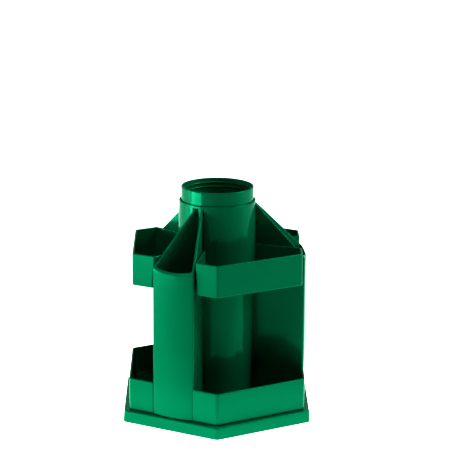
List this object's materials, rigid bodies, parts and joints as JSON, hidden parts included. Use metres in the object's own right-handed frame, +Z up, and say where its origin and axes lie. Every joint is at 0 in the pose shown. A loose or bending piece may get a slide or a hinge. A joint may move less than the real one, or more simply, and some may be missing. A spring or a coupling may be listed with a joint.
{
  "type": "desk organizer",
  "caption": "Turntable desk organizer: hexagonal base, round centre cup, slant-topped pencil channels, low open bays and a lift-off ring of upper trays.",
  "frame": {"origin": "centre of the underside of the feet, on the turning axis", "axes": "+Z up along the cup and turning axis, +X through the middle of one pencil channel, +Y away from the front"},
  "size_m": [0.14, 0.1602, 0.1728],
  "materials": {
    "green_plastic": "glossy moulded",
    "white_plastic": "smooth",
    "steel": "turned",
    "rubber": "matte"
  },
  "bodies": {
    "base": {"base_shell": "green_plastic", "glide_ring": "white_plastic", "pivot_pin": "steel", "foot_pad_1": "rubber", "foot_pad_2": "rubber", "foot_pad_3": "rubber", "foot_pad_4": "rubber", "foot_pad_5": "rubber", "foot_pad_6": "rubber"},
    "carousel": {"carousel_floor": "green_plastic", "center_cup": "green_plastic", "mouth_rib_upper": "green_plastic", "mouth_rib_lower": "green_plastic", "channel_right": "green_plastic", "channel_back": "green_plastic", "channel_front": "green_plastic", "bay_wall_back": "green_plastic", "bay_wall_left": "green_plastic", "bay_wall_front": "green_plastic"},
    "tray_ring": {"ring_sleeve": "green_plastic", "upper_tray_back": "green_plastic", "upper_tray_left": "green_plastic", "upper_tray_front": "green_plastic"}
  },
  "joints": [
    {"name": "carousel_turn", "type": "hinge", "parent": "base", "child": "carousel", "pos_m": [0, 0, 0.01], "axis": [0, 0, 1], "continuous": true},
    {"name": "tray_lift", "type": "slide", "parent": "carousel", "child": "tray_ring", "axis": [0, 0, 1], "range_m": [0, 0.07]}
  ]
}
